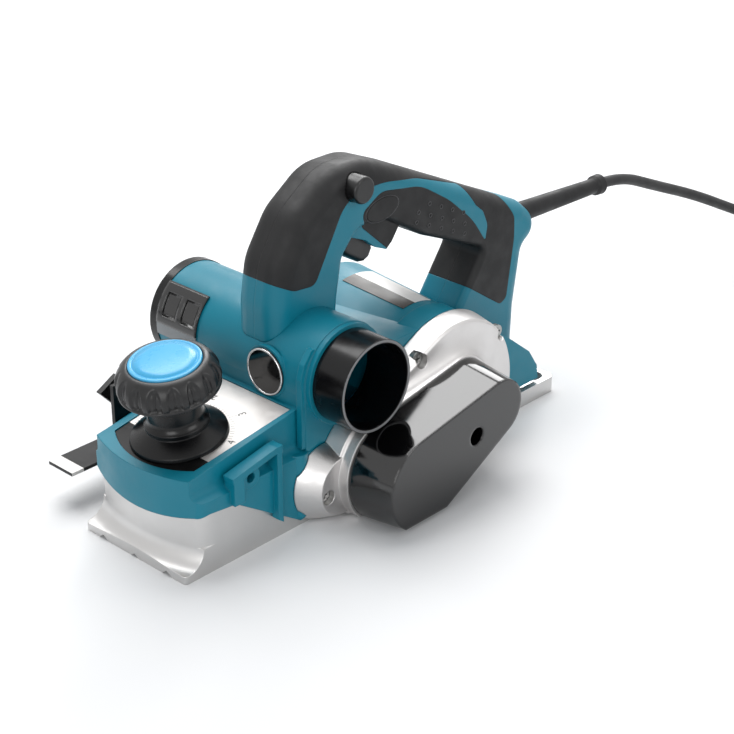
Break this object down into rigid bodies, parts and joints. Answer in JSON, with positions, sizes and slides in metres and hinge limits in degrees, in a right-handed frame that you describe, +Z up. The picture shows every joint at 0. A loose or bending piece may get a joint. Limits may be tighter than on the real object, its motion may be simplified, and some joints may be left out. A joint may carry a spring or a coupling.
{
  "type": "electric hand planer",
  "caption": "Portable electric hand planer with D handle, depth knob, adjustable front shoe, cross chip duct with nozzle, belt drive cover and mains cord.",
  "frame": {"origin": "on the rear sole, halfway along and across the base", "axes": "+X towards the depth knob end, +Y towards the belt cover, +Z up"},
  "size_m": [0.6671, 0.247, 0.1775],
  "materials": {
    "teal_plastic": "fine moulded texture",
    "rubber": "matt",
    "cast_aluminium": "fine blasted",
    "gloss_black": "polished",
    "black_plastic": "satin",
    "steel": "zinc plated",
    "blade_steel": "ground",
    "core_steel": "laminated",
    "copper": "enamelled",
    "printed_plate": "printed satin",
    "grey_plastic": "satin",
    "blue_plastic": "semi-gloss"
  },
  "bodies": {
    "main": {"badge": "gloss_black", "bearing_bracket": "cast_aluminium", "belt_cover": "gloss_black", "brush_front": "black_plastic", "brush_rear": "black_plastic", "cord": "rubber", "cord_coil": "rubber", "cord_guard": "rubber", "cord_tail": "rubber", "cover_screw": "steel", "drive_belt": "rubber", "drum_bearing_left": "steel", "drum_bearing_right": "steel", "duct_end_ring": "gloss_black", "field_coils": "copper", "field_core": "core_steel", "gear_case": "cast_aluminium", "grille_strip": "grey_plastic", "grip_left": "rubber", "grip_right": "rubber", "handle_left": "teal_plastic", "handle_right": "teal_plastic", "handle_screws": "steel", "housing_screws": "steel", "main_housing": "teal_plastic", "motor_bearing_left": "steel", "motor_bearing_right": "steel", "motor_end_cap": "black_plastic", "nozzle": "gloss_black", "plug": "black_plastic", "rating_label": "printed_plate", "rear_base": "cast_aluminium", "rear_foot_pin": "steel", "scale_plate": "printed_plate", "side_grille": "gloss_black", "switch_body": "black_plastic", "trigger_pin": "steel"},
    "cutter": {"drum": "cast_aluminium", "blade_a": "blade_steel", "blade_b": "blade_steel", "blade_clamp_a": "cast_aluminium", "blade_clamp_b": "cast_aluminium", "clamp_bolts_a": "steel", "clamp_bolts_b": "steel", "drum_pulley": "cast_aluminium"},
    "rotor": {"armature_shaft": "steel", "armature_core": "core_steel", "commutator": "copper", "fan": "black_plastic", "motor_pulley": "cast_aluminium"},
    "knob": {"knob_spindle": "steel", "knob_dial": "gloss_black", "knob_grip": "black_plastic", "knob_cap": "blue_plastic"},
    "shoe": {"front_base": "cast_aluminium"},
    "trigger": {"trigger": "black_plastic"},
    "lock_button": {"lock_button": "black_plastic"},
    "depth_guide": {"depth_guide": "steel"},
    "guide_screw": {"guide_screw": "steel"},
    "rear_foot": {"rear_foot": "black_plastic"}
  },
  "joints": [
    {"name": "drum_spin", "type": "hinge", "parent": "main", "child": "cutter", "pos_m": [0.021, 0, 0.025], "axis": [0, 1, 0], "continuous": true},
    {"name": "motor_spin", "type": "hinge", "parent": "main", "child": "rotor", "pos_m": [-0.039, 0, 0.046], "axis": [0, 1, 0], "continuous": true},
    {"name": "knob_turn", "type": "hinge", "parent": "main", "child": "knob", "pos_m": [0.114, 0, 0.0573], "axis": [0.1564, 0, 0.9877], "range_deg": [-180, 0]},
    {"name": "shoe_slide", "type": "slide", "parent": "main", "child": "shoe", "axis": [0.1564, 0, 0.9877], "range_m": [0, 0.004]},
    {"name": "trigger_pull", "type": "hinge", "parent": "main", "child": "trigger", "pos_m": [-0.004, 0, 0.149], "axis": [0, 1, 0], "range_deg": [0, 7], "stiffness_Nm_per_rad": 0.8, "springref_deg": -5.73},
    {"name": "lock_press", "type": "slide", "parent": "main", "child": "lock_button", "axis": [0, -1, 0], "range_m": [0, 0.0035], "stiffness_N_per_m": 600, "springref_m": -0.001},
    {"name": "guide_slide", "type": "slide", "parent": "main", "child": "depth_guide", "axis": [0, 0, 1], "range_m": [-0.02, 0.005]},
    {"name": "guide_screw_turn", "type": "hinge", "parent": "main", "child": "guide_screw", "pos_m": [0.104, -0.05, 0.045], "axis": [0, 1, 0], "range_deg": [-90, 0]},
    {"name": "foot_drop", "type": "hinge", "parent": "main", "child": "rear_foot", "pos_m": [-0.117, -0.029, 0.005], "axis": [0, 1, 0], "range_deg": [-40, 0]}
  ],
  "couplings": [
    {"joint": "motor_spin", "follows": "drum_spin", "ratio": 1.75},
    {"joint": "knob_turn", "follows": "shoe_slide", "rad_per_m": -785.4}
  ]
}
